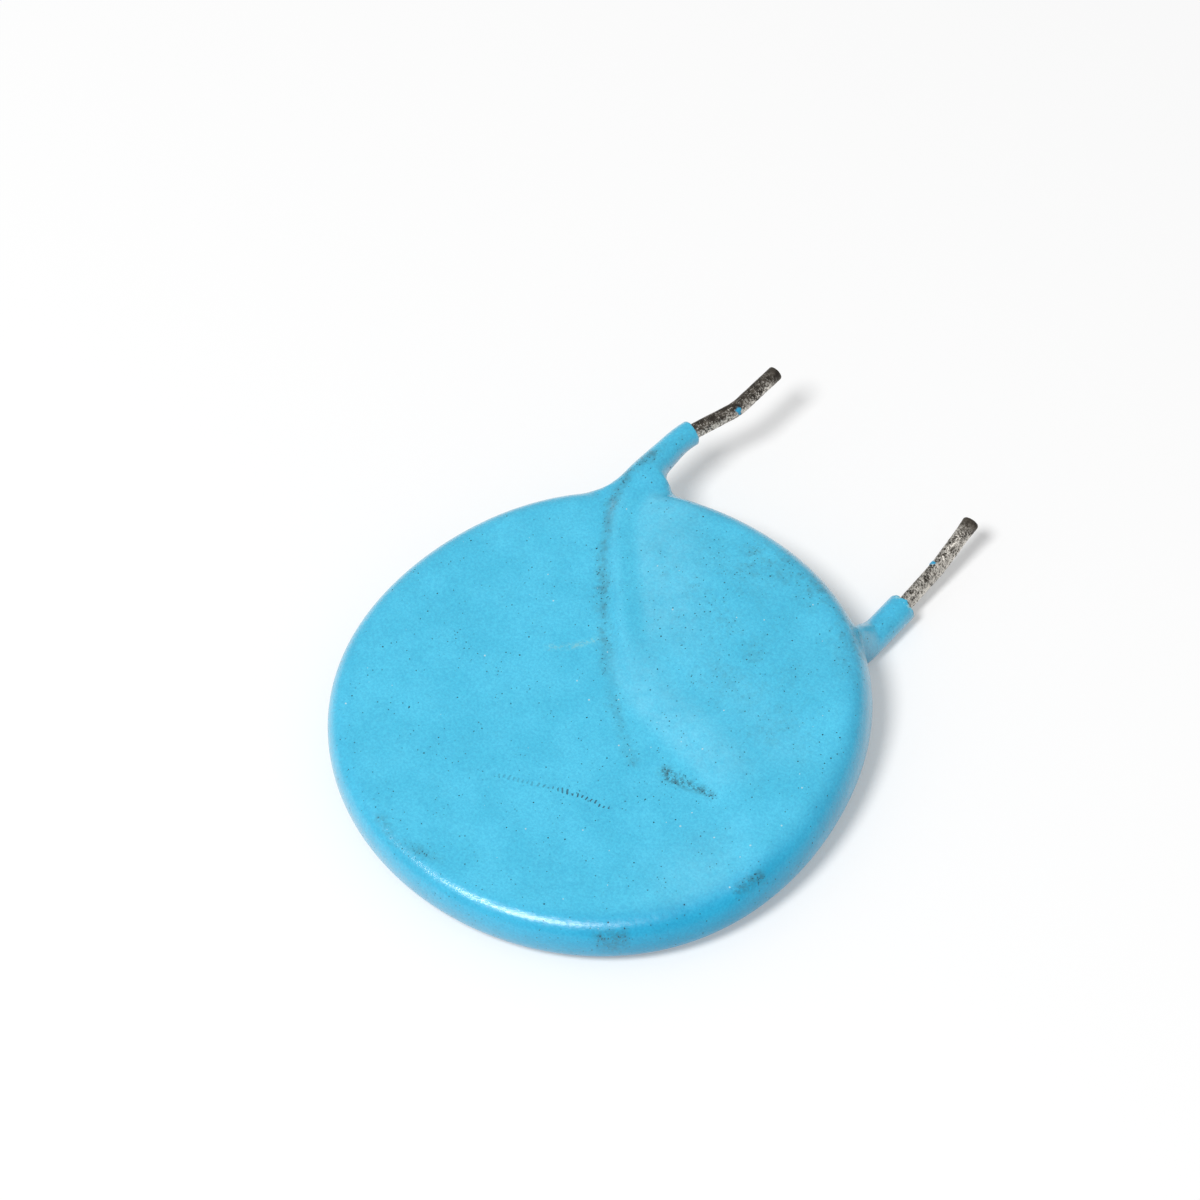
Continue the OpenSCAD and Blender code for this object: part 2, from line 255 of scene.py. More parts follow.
NECK_STEP = 0.3
NECK_FROM_Y = 9.5        # where its line begins, inside the disc
PAST_END = 0.6           # its line runs on past the open end, which is then cut off
BURIED_R = WIRE_R + CREST_COAT - 0.02   # radius inside the disc, just under the ridge
GROWS_FROM = -1.1        # out, where the radius starts to grow from that
NECK_SWELL = (0.3, 3.3)  # out, where the swelling at the root ends
NECK_DROP = 1.1          # how far the root reaches down towards the middle of the rim
DROP_ENDS = (0, 1.3)     # out
FILLET_RISE = (-1.8, 0.4)        # out, where the fillet in plan begins
FIELD_FROM_Y = 9         # the necks change nothing nearer than this to the middle
BURIED_BLEND = 0.15      # width of the join inside the disc
BLEND_RISE = (-1.4, 0.2)         # out, where the join gets its full width
INNER_BLEND_RISE = (-0.7, 0.5)   # out, the same on the side of the other neck
INNER_SIDE_W = 1.2       # width over which one side's join gives way to the other's


def plan_fillet(y, r, f, side):
    """Extra half width of a neck where a fillet of radius f runs into the rim, side 1 outside, -1 inside."""
    cx = LEAD_PITCH / 2 + side * (r + f)
    cy = np.sqrt((COAT_R + f) ** 2 - cx * cx)
    e = np.clip(cy - y, 0, f * cy / (COAT_R + f))
    return f - np.sqrt(f * f - e * e)


def past_outline(x, y):
    return np.hypot(x, y) - outline_radius(angle_at(x, y))


class Neck:
    """The coat round one lead where it leaves the rim.

    Its radius grows over the distance `growth`. The pairs are for its outer and its inner side.
    """

    def __init__(self, sheath, over, end_radius, swell, growth, fillets, blends, lip, ragged):
        frames = [over @ m for m in wire_frames(sheath, NECK_STEP)]
        frames = [m for m in frames if m.translation.y > NECK_FROM_Y]
        self.end = frames[-1]
        self.line = [np.array(m.translation) for m in frames]
        self.line.append(self.line[-1] + PAST_END * np.array(self.end.col[2][:3]))
        self.outer = -1 if self.end.translation.x < 0 else 1
        self.up = 1 if self.line[0][2] > 0 else -1
        self.fillets, self.lip, self.ragged = fillets, lip, ragged
        self.blend, self.inner_blend = blends
        self.radii = []
        for p in self.line:
            out = past_outline(p[0], p[1])
            free = end_radius + swell * (1 - rise(out, NECK_SWELL))
            self.radii.append(float(mix(BURIED_R, free, smooth((out - GROWS_FROM) / growth))))

    def field(self, x, y, z):
        best = np.full(x.shape, np.inf)
        radius, side, height = np.zeros(x.shape), np.zeros(x.shape), np.zeros(x.shape)
        for a, b, ra, rb in zip(self.line[:-1], self.line[1:], self.radii[:-1], self.radii[1:]):
            d = b - a
            px, py, pz = x - a[0], y - a[1], z - a[2]
            t = np.clip((px * d[0] + py * d[1] + pz * d[2]) / (d @ d), 0, 1)
            gx, gz = px - t * d[0], pz - t * d[2]
            gap = gx**2 + (py - t * d[1]) ** 2 + gz**2
            closer = gap < best
            best = np.where(closer, gap, best)
            radius = np.where(closer, ra + t * (rb - ra), radius)
            side = np.where(closer, gx * self.outer, side)
            height = np.where(closer, gz * self.up, height)
        out = past_outline(x, y)
        outside = plan_fillet(y, radius, self.fillets[0], 1)
        inside = plan_fillet(y, radius, self.fillets[1], -1)
        wider = np.where(side > 0, outside, inside) * rise(out, FILLET_RISE)
        deeper = np.where(height < 0, NECK_DROP * (1 - rise(out, DROP_ENDS)), 0)
        thin_x, thin_z = radius / (radius + wider), radius / (radius + deeper)
        off = np.sqrt(np.maximum(best - side**2 * (1 - thin_x**2) - height**2 * (1 - thin_z**2), 0))
        return cut(off - radius, self.past_end(x, y, z) + self.torn(x, z), self.lip)

    def torn(self, x, z):
        """Raggedness of the open end: three waves that never fall into step."""
        return self.ragged * (np.sin(9.1 * x + 2) + np.sin(12.7 * z + 5) + 0.6 * np.sin(23 * (x - z)))

    def past_end(self, x, y, z):
        e, h = self.end.translation, self.end.col[2]
        return (x - e.x) * h.x + (y - e.y) * h.y + (z - e.z) * h.z

    def from_axis(self, x, y, z):
        e, past = self.end, self.past_end(x, y, z)
        gap = [c - o - past * k for c, o, k in zip((x, y, z), e.translation, e.col[2])]
        return np.sqrt(gap[0] ** 2 + gap[1] ** 2 + gap[2] ** 2)


NECKS = [
    Neck(FRONT_SHEATH, Matrix.Identity(4), end_radius=0.67, swell=0.16, growth=2.0,
         fillets=(3.6, 0.9), blends=(0.9, 1.2), lip=0.14, ragged=0.01),
    Neck(BACK_SHEATH, TURNED_OVER, end_radius=0.78, swell=0.0, growth=0.9,
         fillets=(0.5, 0.1), blends=(0.3, 0.3), lip=0.06, ragged=0.045),
]


def coat_field(x, y, z):
    x, y, z = np.broadcast_arrays(x, y, z)
    f = disc_field(x, y, z)
    near = y > FIELD_FROM_Y
    nx, ny, nz, part = x[near], y[near], z[near], f[near]
    out = past_outline(nx, ny)
    full, inner_full = rise(out, BLEND_RISE), rise(out, INNER_BLEND_RISE)
    for neck in NECKS:
        inner = smooth(0.5 - neck.outer * (nx - neck.line[0][0]) / INNER_SIDE_W)
        width = mix(BURIED_BLEND, neck.blend, full)
        width = width + (neck.inner_blend - neck.blend) * inner * inner_full
        part = join(part, neck.field(nx, ny, nz), width)
    f = f.copy()
    f[near] = part
    return f


# ---- Mesh of the coat ----------------------------------------------------------------

PITCH = 0.135            # of the grid that the net is spun on
NET_LOW, NET_HIGH = (-14.0, -14.0, -2.4), (14.0, 16.4, 2.4)
SETTLE_ROUNDS = 3
LEAST_SLOPE = 0.05       # squared, so that a flat place in the field throws no point far
FINER_WITHIN = 1.05      # of the middle of an open end


def surface_net(field, low, high, pitch):
    """Points and quads over the zero level of a field, one point in each grid cell that it crosses."""
    axes = [np.arange(lo, hi, pitch) for lo, hi in zip(low, high)]
    gx, gy, gz = np.meshgrid(*axes, indexing="ij", sparse=True)
    values = field(gx, gy, gz)
    shape = np.array(values.shape)
    strides = np.array([shape[1] * shape[2], shape[2], 1])
    rings, flips, places = [], [], []
    for axis in range(3):
        a = np.moveaxis(values, axis, 0)
        crossed = np.moveaxis((a[:-1] < 0) != (a[1:] < 0), 0, axis)
        at = np.argwhere(crossed)
        here = at @ strides
        va, vb = values.ravel()[here], values.ravel()[here + strides[axis]]
        point = at.astype(np.float32)
        point[:, axis] += va / (va - vb)
        u, v = strides[(axis + 1) % 3], strides[(axis + 2) % 3]
        rings.append(np.stack([here, here - u, here - u - v, here - v], 1))
        places.append(point)
        flips.append(va > vb)
    rings, places, flip = np.concatenate(rings), np.concatenate(places), np.concatenate(flips)
    number = np.unique(rings, return_inverse=True)[1]
    quads = number.reshape(rings.shape)
    hits = np.bincount(quads.ravel())
    sums = [np.bincount(quads.ravel(), np.repeat(places[:, k], 4)) for k in range(3)]
    points = (np.stack(sums, 1) / hits[:, None]) * pitch + np.array(low)
    quads[flip] = quads[flip][:, ::-1]
    return points, quads


def settle(points, field, reach=0.003):
    """Moves points along the field's slope onto its zero level."""
    p = np.array(points, float)
    for _ in range(SETTLE_ROUNDS):
        f = field(*p.T)
        slope = np.stack([field(*(p + step).T) - f for step in np.eye(3) * reach], 1) / reach
        p -= slope * (f / np.maximum((slope * slope).sum(1), LEAST_SLOPE))[:, None]
    return p


def mesh_object(name, points, faces):
    mesh = bpy.data.meshes.new(name)
    mesh.from_pydata([tuple(p) for p in points], [], [tuple(int(k) for k in f) for f in faces])
    mesh.validate()
    mesh.polygons.foreach_set("use_smooth", [True] * len(mesh.polygons))
    piece = bpy.data.objects.new(name, mesh)
    bpy.context.scene.collection.objects.link(piece)
    return piece


def to_row(points):
    """Disc frame in millimetres to row frame in metres."""
    m = np.array(DISC)
    return (points @ m[:3, :3].T + m[:3, 3]) * MM


def refined(points, quads, close):
    """The same faces, with those that are close to something cut finer."""
    bm = bmesh.new()
    verts = [bm.verts.new(p) for p in points]
    for q in quads:
        bm.faces.new([verts[k] for k in q])
    edges = [e for e in bm.edges if all(close(v.co) for v in e.verts)]
    bmesh.ops.subdivide_edges(bm, edges=edges, cuts=1, use_grid_fill=True)
    bm.verts.index_update()
    co = np.array([v.co[:] for v in bm.verts])
    faces = [[v.index for v in f.verts] for f in bm.faces]
    bm.free()
    return co, faces


def near_open_end(co):
    return any((co - neck.end.translation).length < FINER_WITHIN for neck in NECKS)


def make_coat():
    points, quads = surface_net(coat_field, NET_LOW, NET_HIGH, PITCH)
    points = settle(points, coat_field)
    points, faces = refined(points, quads, near_open_end)
    points = settle(points, coat_field)
    placed = to_row(points)
    placed[:, 2] = np.maximum(placed[:, 2], 0)   # a small flat where it rests
    piece = mesh_object("dipped_coat", placed, faces)
    paint_wear_and_light(piece, points)
    return piece


# ---- Wear and painted light and shade, on the coat's points for the material to read ---
# Marks are lines in the disc frame, on the front face.

DIRT_LINE = [
    (-7.5, 13.0), (-7.7, 11.4), (-7.2, 9.4), (-5.5, 6.8), (-3.9, 4.9),
    (-2.5, 3.4), (-0.9, 1.7), (1.2, 0.0), (2.7, -1.23), (3.5, -1.63),
]
SMUDGE = [(5.2, -1.06), (5.9, -1.14), (6.6, -0.94), (7.25, -0.82), (7.95, -0.78)]
SMUDGE_THINS = (5.4, 8.0)        # in x
PIT_ROW = [(-1.3, -6.35), (0.31, -5.65), (1.77, -5.1), (3.31, -4.63), (4.65, -4.32)]
SCRATCH = [(-4.2, 1.0), (-3.2, 1.9), (-2.65, 2.79)]
STIPPLED = [(0.86, 11.6), (3.02, 12.1), (5.55, 11.9), (7.1, 11.2), (8.6, 9.7)]
CLOUD = [(-1, 9), (4, 6), (8, 4)]
NECK_CREST = [(-7.3, 12.5), (-7.2, 14.2), (-6.9, 15.8)]
RIM_MARKS = [
    [(12.25, -4.1), (12.45, -3.5), (12.62, -2.86)],
    [(8.56, -10.18), (9.02, -9.81), (9.48, -9.38)],
    [(-4.07, -11.87), (-2.73, -12.29), (-1.3, -12.05), (-0.23, -11.79)],
]
RIM_DIRT = (0.5, 0.45, 0.2)      # how dark each of them is
# Dirt beside the dirt line, and a broad darker patch (CLOUD) right of the ridge: line, half width and
# strength
GRIME = [(STIPPLED, 1.9, 0.95), (CLOUD, 4.5, 0.42), (NECK_CREST, 0.35, 0.8)]
GRIME += [(mark, 0.55, 0.9) for mark in RIM_MARKS]
GRIME_UNDER = 0.15               # on the back face
FRONT_FACE = (-0.4, 0.4)         # height where the front's wear and painted light begin
RIM_SHADE_FROM = (11.7, 13.0)         # radius over which the rim's painted shade grows
RIM_SHADE_TOWARDS, RIM_SHADE_SPREAD = -25, 65   # angle at which it is deepest, and over how much, in degrees


def stroke(x, y, line, width):
    gap, _ = beside(x, y, line)
    return 1 - smooth(np.abs(gap) / width)


def painted_sheen_share(x, y):
    """Painted sheen: where the coat is made paler, in bands beside the ridge and on the foot of the web."""
    across, along = web_place(x, y)
    low = rise(across, (-1.7, -0.9)) * (1 - rise(across, (0.2, 1.8))) + 0.45 * bell((across - 2.8) / 2.2)
    high = rise(across, (0.6, 1.3)) * (1 - rise(across, (2.6, 5.0))) + 0.4 * bell((across + 0.15) / 0.4)
    bands = mix(low * rise(along, (-0.5, 2.5)), high, rise(along, RIDGE_ALONE)) * rise(along, (-1, 1))
    foot = 0.8 * np.exp(-(((x - 10.4) / 2.0) ** 2) - ((y + 4.6) / 3.2) ** 2)
    on_face = 1 - rise(np.hypot(x, y), (12.4, 13.2))
    return (bands + foot) * on_face


def grime_share(x, y):
    line = stroke(x, y, DIRT_LINE, 0.75) * mix(0.55, 1, rise(y, (1.5, 4.5)))
    return 0.95 * line + sum(strength * stroke(x, y, mark, width) for mark, width, strength in GRIME)


def smudge_share(x, y):
    thinning = rise(x, SMUDGE_THINS)
    smear = stroke(x, y, SMUDGE, mix(0.64, 0.36, thinning)) * mix(1, 0.7, thinning)
    return smear + sum(share * stroke(x, y, mark, 0.4) for share, mark in zip(RIM_DIRT, RIM_MARKS))


# Painted shade: the coat is darkened near the rim, most towards one side
def rim_shade_share(x, y):
    side = np.exp(-(((angle_at(x, y) - RIM_SHADE_TOWARDS) / RIM_SHADE_SPREAD) ** 2))
    return rise(np.hypot(x, y), RIM_SHADE_FROM) * mix(0.2, 1, side)


def gap_shade_share(neck, x, y, z):
    """Painted shade in the gap between a neck's open end and its wire."""
    return rise(neck.past_end(x, y, z), (-0.12, -0.02)) * (1 - rise(neck.from_axis(x, y, z), (0.46, 0.56)))


def paint(piece, name, values):
    piece.data.attributes.new(name, "FLOAT", "POINT").data.foreach_set("value", values.astype(np.float32))


def paint_wear_and_light(piece, points):
    x, y, z = points.T
    above = rise(z, FRONT_FACE)
    # Painted sheen: pale bands that stand in for light caught on the slopes
    paint(piece, "sheen_paint", painted_sheen_share(x, y) * above)
    paint(piece, "grime", np.clip(grime_share(x, y), 0, 1) * above + GRIME_UNDER * (1 - above))
    # Dirt and painted shade along the crease at the foot of the ridge
    paint(piece, "crease_dirt_and_shade", stroke(x, y, DIRT_LINE, 0.45) * mix(0.4, 1, rise(y, (0, 7))) * above)
    paint(piece, "deep", rim_shade_share(x, y))
    paint(piece, "smudge", smudge_share(x, y) * above)
    across, along = beside(x, y, PIT_ROW)
    length = sum(math.dist(a, b) for a, b in zip(PIT_ROW, PIT_ROW[1:]))
    in_row = rise(along, (0, 0.3)) * rise(length - along, (0, 0.3)) * smooth(2 - np.abs(across))
    paint(piece, "pit_along", along)
    paint(piece, "pit_across", across)
    paint(piece, "pit_row", in_row * above)
    paint(piece, "scratch", stroke(x, y, SCRATCH, 0.3) * above)
    back = NECKS[1]
    paint(piece, "chip", rise(back.past_end(x, y, z), (-0.3, -0.1)) * (back.from_axis(x, y, z) < 1.2))
    paint(piece, "painted_gap_shade", np.maximum(*[gap_shade_share(neck, x, y, z) for neck in NECKS]))


# ---- Leads ---------------------------------------------------------------------------

LEAD_POINTS = 56
HIDDEN_STEP, BARE_STEP = 0.5, 0.045   # ring spacing under the coat and on the bare wire
BARE_BEFORE_END = 1.0    # the fine rings start this far inside a neck's open end
PIT_DEPTH = 0.012
FLAT_REACH = 1.1         # length over which a cut end is flattened
DARK_TIP = (1.08, 0.18)  # distance from the cut end, over which the worn tin gives way to tarnish
CRUMBS = [(-5.96, 18.02), (6.73, 17.97)]   # crumbs of coat stuck to the wires, in the disc frame
CRUMB_R, CRUMB_UNEVEN, CRUMB_EDGE, CRUMB_H = 0.17, 0.1, 0.06, 0.05


def pitted(p):
    """Height of the tarnished wire's surface at a place, about 0."""
    coarse = noise.noise(p * 1.7 + Vector((3, 0, 0)))
    fine = noise.noise(p * 7.0 + Vector((0, 5, 0)))
    pit = min(0, noise.noise(p * 11.0) + 0.15)
    return PIT_DEPTH * (0.5 * coarse + 0.5 * fine + 1.6 * pit)


def crumb_share(p, out):
    """1 inside a crumb of coat, which is only on the side that faces up."""
    if out.z <= 0.1:
        return 0.0
    radius = CRUMB_R + CRUMB_UNEVEN * noise.noise(p * 6)
    return max(float(smooth((radius - math.dist(p[:2], c)) / CRUMB_EDGE)) for c in CRUMBS)


def lead_rings(bends, bare_from, flatten, lip):
    """Frames along a lead with the width, height and shrink of its section at each."""
    rings = []
    fine = chain(bends, BARE_STEP)
    whole = sum(run + math.radians(angle) * radius for run, angle, radius, _ in bends)
    travelled, last_kept = 0.0, -1.0
    for k, m in enumerate(fine):
        if k:
            travelled += (m.translation - fine[k - 1].translation).length
        bare = (TOE @ m).translation.y > bare_from
        if k in (0, len(fine) - 1) or bare or travelled - last_kept > HIDDEN_STEP:
            left = whole - travelled
            near_tip = float(smooth(1 - left / FLAT_REACH)) * flatten
            inset = lip - math.sqrt(max(0, lip * lip - max(0, lip - left) ** 2)) if left < lip else 0
            rings.append((TOE @ m, 1 + near_tip, 1 - near_tip, inset))
            last_kept = travelled
    return rings


def ring_faces(ring_count):
    """Quads between the rings, and a fan over each end, about a point of its own."""
    after = [(k + 1) % LEAD_POINTS for k in range(LEAD_POINTS)]
    faces = []
    for start in range(0, (ring_count - 1) * LEAD_POINTS, LEAD_POINTS):
        for k, n in enumerate(after):
            faces.append((start + k, start + n, start + n + LEAD_POINTS, start + k + LEAD_POINTS))
    first_end = ring_count * LEAD_POINTS
    faces += [(first_end, n, k) for k, n in enumerate(after)]
    start = first_end - LEAD_POINTS
    faces += [(first_end + 1, start + k, start + n) for k, n in enumerate(after)]
    return faces


def make_lead(name, bends, neck, over, flatten, lip, painted_side_light):
    """A lead, with its crumb of coat. The painted side light is a share above and a share below: pale tin
    made commoner by which way the surface faces, standing in for light.
    """
    points, side_light_shares, crumbs, tips = [], [], [], []
    rings = lead_rings(bends, neck.end.translation.y - BARE_BEFORE_END, flatten, lip)
    tip = (over @ rings[-1][0]).translation
    for m, wide, high, inset in rings:
        m = over @ m
        near_end = float(rise((m.translation - tip).length, DARK_TIP))
        for k in range(LEAD_POINTS):
            a = 2 * math.pi * k / LEAD_POINTS
            radius = WIRE_R - inset
            p = m @ Vector((radius * wide * math.cos(a), radius * high * math.sin(a), 0))
            out = (p - m.translation).normalized()
            crumb = crumb_share(p, out)
            points.append(p + out * (pitted(p) + CRUMB_H * crumb))
            # Painted light: the share of pale tin follows which way the surface faces
            side_light_shares.append(mix(painted_side_light[1], painted_side_light[0], float(smooth(0.5 + out.z * 0.6 - 0.6 * out.x))))
            crumbs.append(crumb)
            tips.append(near_end)
    for m in (rings[0][0], rings[-1][0]):
        points.append((over @ m).translation)
        side_light_shares.append(0.0)
        crumbs.append(0.0)
        tips.append(1.0)
    piece = mesh_object(name, to_row(np.array([p[:] for p in points])), ring_faces(len(rings)))
    paint(piece, "painted_side_light", np.array(side_light_shares))
    paint(piece, "tip", np.array(tips))
    paint(piece, "fleck", np.array(crumbs))
    return piece


# ---- Materials -----------------------------------------------------------------------


class Nodes:
    """A material's node tree, with short calls to add to it."""

    def __init__(self, name):
        self.material = bpy.data.materials.new(name)
        self.material.use_nodes = True
        self.tree = self.material.node_tree
        self.shader = self.tree.nodes["Principled BSDF"]
        place = self.add("ShaderNodeTexCoord").outputs["Object"]
        scaled = self.add("ShaderNodeVectorMath", operation="SCALE")
        self.link(place, scaled.inputs[0])
        scaled.inputs["Scale"].default_value = 1 / MM
        self.place = scaled.outputs[0]

    def add(self, kind, **settings):
        node = self.tree.nodes.new(kind)
        for key, value in settings.items():
            setattr(node, key, value)
        return node

    def link(self, out, into):
        if isinstance(out, (int, float, tuple)):
            into.default_value = out
        else:
            self.tree.links.new(out, into)

    def set(self, **values):
        """Values and links of the shader's own sockets, with _ for a space in their names."""
        for name, value in values.items():
            self.link(value, self.shader.inputs[name.replace("_", " ")])

    def math(self, operation, a, b=0.0, clamp=False):
        node = self.add("ShaderNodeMath", operation=operation, use_clamp=clamp)
        self.link(a, node.inputs[0])
        self.link(b, node.inputs[1])
        return node.outputs[0]

    def times(self, a, b, clamp=False):
        return self.math("MULTIPLY", a, b, clamp)

    def plus(self, a, b):
        return self.math("ADD", a, b)

    def minus(self, a, b):
        return self.math("SUBTRACT", a, b)

    def most(self, first, *others):
        for other in others:
            first = self.math("MAXIMUM", first, other)
        return first

    def noise(self, per_mm, detail=2.0, rough=0.5, warp=0.0):
        node = self.add("ShaderNodeTexNoise")
        self.link(self.place, node.inputs["Vector"])
        node.inputs["Scale"].default_value = per_mm
        node.inputs["Detail"].default_value = detail
        node.inputs["Roughness"].default_value = rough
        node.inputs["Distortion"].default_value = warp
        return node.outputs["Fac"]

    def dots(self, per_mm, radius, share):
        """Round specks, 1 inside. The share of the cells of a scattered grid that have one may vary."""
        cells = self.add("ShaderNodeTexVoronoi")
        self.link(self.place, cells.inputs["Vector"])
        cells.inputs["Scale"].default_value = per_mm
        split = self.add("ShaderNodeSeparateColor")
        self.link(cells.outputs["Color"], split.inputs[0])
        size = self.times(self.plus(split.outputs[1], 0.5), radius)
        near = self.math("LESS_THAN", cells.outputs["Distance"], size)
        return self.times(near, self.math("LESS_THAN", split.outputs[0], share))

    def steps(self, value, low, high, to_low=0.0, to_high=1.0):
        node = self.add("ShaderNodeMapRange", interpolation_type="SMOOTHSTEP")
        names = ("Value", "From Min", "From Max", "To Min", "To Max")
        for name, v in zip(names, (value, low, high, to_low, to_high)):
            self.link(v, node.inputs[name])
        return node.outputs[0]

    def blend(self, share, a, b, kind="MIX"):
        node = self.add("ShaderNodeMix", data_type="RGBA", blend_type=kind)
        self.link(share, node.inputs["Factor"])
        self.link(a, node.inputs["A"])
        self.link(b, node.inputs["B"])
        return node.outputs["Result"]

    def tinted(self, share, color, tint):
        """The colour, multiplied by the tint where the share is 1."""
        return self.blend(share, color, self.blend(1.0, color, tint, "MULTIPLY"))

    def bump(self, height, distance_mm):
        node = self.add("ShaderNodeBump")
        self.link(height, node.inputs["Height"])
        node.inputs["Distance"].default_value = distance_mm * MM
        node.inputs["Strength"].default_value = 1.0
        return node.outputs["Normal"]

    def attribute(self, name):
        return self.add("ShaderNodeAttribute", attribute_name=name).outputs["Fac"]


def rgb(r, g, b):
    """Linear colour of an 8-bit sRGB colour."""
    linear = [(c / 255 / 12.92) if c <= 10 else ((c / 255 + 0.055) / 1.055) ** 2.4 for c in (r, g, b)]
    return (*linear, 1.0)


EPOXY = rgb(50, 181, 221), rgb(60, 189, 229)   # between which it is mottled
GRAIN_TINT = (1.55, 1.24, 1.15, 1)
RIM_SHADE_TINT = (0.3, 0.74, 0.83, 1)
# Whitish colour of the painted sheen
SHEEN_COLOR = rgb(178, 234, 252)
FILM = rgb(52, 104, 116)
CREASE_COLOR = rgb(40, 100, 118)
SPECK = rgb(30, 66, 76)
SMEAR = rgb(56, 58, 52)
PALE_SPECK = rgb(205, 226, 226)
TICK = rgb(18, 70, 92)
SCUFF = rgb(150, 206, 204)
CHIP = rgb(176, 222, 224)
GAP_SHADE_COLOR = rgb(20, 22, 24)
TARNISH = rgb(66, 62, 57), rgb(104, 98, 90)
WORN_TIN = rgb(226, 221, 212)
CRUMB = rgb(34, 160, 205)

TICKS_PER_MM = 3.9
TICK_SHARE = 0.17        # half the share of each pitch that a tick fills


def coat_dirt_and_crease_shade(n, color):
    """The coat's colour under its dirt and the painted shade in the crease, with how much of each place the
    specks and the smear cover.
    """
    grime, crease_dirt_and_shade, smudge = (n.attribute(name) for name in ("grime", "crease_dirt_and_shade", "smudge"))
    patchy = n.steps(n.noise(0.8, 4, 0.65), 0.38, 0.7)
    dirty = n.times(grime, n.plus(n.times(patchy, 0.8), 0.2), clamp=True)
    thickness = n.steps(n.noise(3.2, 4, 0.75), 0.35, 0.7, 0.08, 0.5)
    color = n.blend(n.times(n.plus(dirty, n.times(patchy, 0.12)), thickness), color, FILM)
    # Dirt and painted shade along the crease beside the ridge
    crease_darkening = n.times(crease_dirt_and_shade, n.steps(n.noise(1.6, 3, 0.6), 0.3, 0.62, 0.25, 0.8))
    color = n.blend(n.times(crease_darkening, 0.42), color, CREASE_COLOR)
    specks = n.dots(2.6, 0.075, n.plus(n.times(dirty, 0.5), 0.25))
    fine = n.dots(5.5, 0.14, n.plus(n.times(dirty, 0.85), n.times(patchy, 0.5)))
    dust = n.dots(9.0, 0.24, n.plus(n.times(smudge, 1.1), n.times(crease_darkening, 0.6)))
    spots = n.most(specks, n.times(fine, 0.75), n.times(dust, 0.8))
    color = n.blend(spots, color, SPECK)
    smear = n.times(smudge, n.steps(n.noise(4.6, 5, 0.8), 0.4, 0.6))
    color = n.blend(n.times(smear, 0.8), color, SMEAR)
    color = n.blend(n.times(n.dots(1.7, 0.06, 0.3), 0.6), color, PALE_SPECK)
    return color, spots, smear


def coat_ticks(n):
    """Row of ticks left by a toothed tool: 1 inside one."""
    place = n.plus(n.attribute("pit_along"), n.times(n.noise(1.1, 2), 0.5))
    tooth = n.math("ABSOLUTE", n.minus(n.math("FRACT", n.times(place, TICKS_PER_MM)), 0.5))
    shift = n.times(n.minus(n.noise(1.8, 2), 0.5), 0.35)
    off = n.math("ABSOLUTE", n.plus(n.attribute("pit_across"), shift))
    reach = n.steps(n.noise(3.6, 2), 0.36, 0.6, 0.03, 0.13)
    tick = n.times(n.math("LESS_THAN", tooth, TICK_SHARE), n.math("LESS_THAN", off, reach))
    return n.times(tick, n.math("GREATER_THAN", n.attribute("pit_row"), 0.4))


def coat_material():
    n = Nodes("epoxy_coat")
    grain = n.noise(7.5, 5, 0.78)
    color = n.blend(n.steps(n.noise(0.35, 4, 0.6), 0.35, 0.65), *EPOXY)
    color = n.tinted(n.steps(grain, 0.36, 0.64), color, GRAIN_TINT)
    # Painted shade near the rim
    deep = n.attribute("deep")
    color = n.tinted(deep, color, RIM_SHADE_TINT)
    # Painted sheen: paler bands beside the ridge, in place of light on its slopes
    sheen_share = n.times(n.attribute("sheen_paint"), n.steps(n.noise(2.2, 4, 0.7), 0.2, 0.75, 0.05, 0.14))
    color = n.blend(sheen_share, color, SHEEN_COLOR)
    color, spots, smear = coat_dirt_and_crease_shade(n, color)
    tick = coat_ticks(n)
    plain = n.steps(n.attribute("pit_along"), 1.5, 4.5, 0.25, 0.85)   # the row fades at its start
    color = n.blend(n.times(tick, plain), color, TICK)
    scuffed = n.times(n.attribute("scratch"), n.steps(n.noise(6, 3, 0.7), 0.4, 0.7, 0.0, 0.6))
    color = n.blend(scuffed, color, SCUFF)
    chipped = n.times(n.attribute("chip"), n.steps(n.noise(2.6, 3, 0.6), 0.5, 0.6))
    color = n.blend(n.times(chipped, 0.6), color, CHIP)
    # Painted shade, near black, in the gap round each wire at a neck's open end
    painted_gap_shade = n.attribute("painted_gap_shade")
    color = n.blend(painted_gap_shade, color, GAP_SHADE_COLOR)
    # Specks, smears and the part of the rim where its shade is painted have no gloss
    matte_shaded_rim = n.times(n.times(deep, deep), 0.85)
    dull = n.most(n.most(spots, smear), n.most(matte_shaded_rim, painted_gap_shade))
    ripple = n.plus(n.times(grain, 0.35), n.times(n.noise(2.4, 2), 0.6))
    relief = n.bump(n.minus(ripple, n.times(n.most(spots, tick), 0.8)), 0.035)
    n.set(Base_Color=color, Roughness=n.steps(grain, 0.2, 0.8, 0.3, 0.45), IOR=1.4, Normal=relief)
    n.set(Coat_Weight=n.minus(1.0, dull), Coat_Roughness=0.2, Coat_IOR=1.75, Coat_Normal=relief)
    return n.material


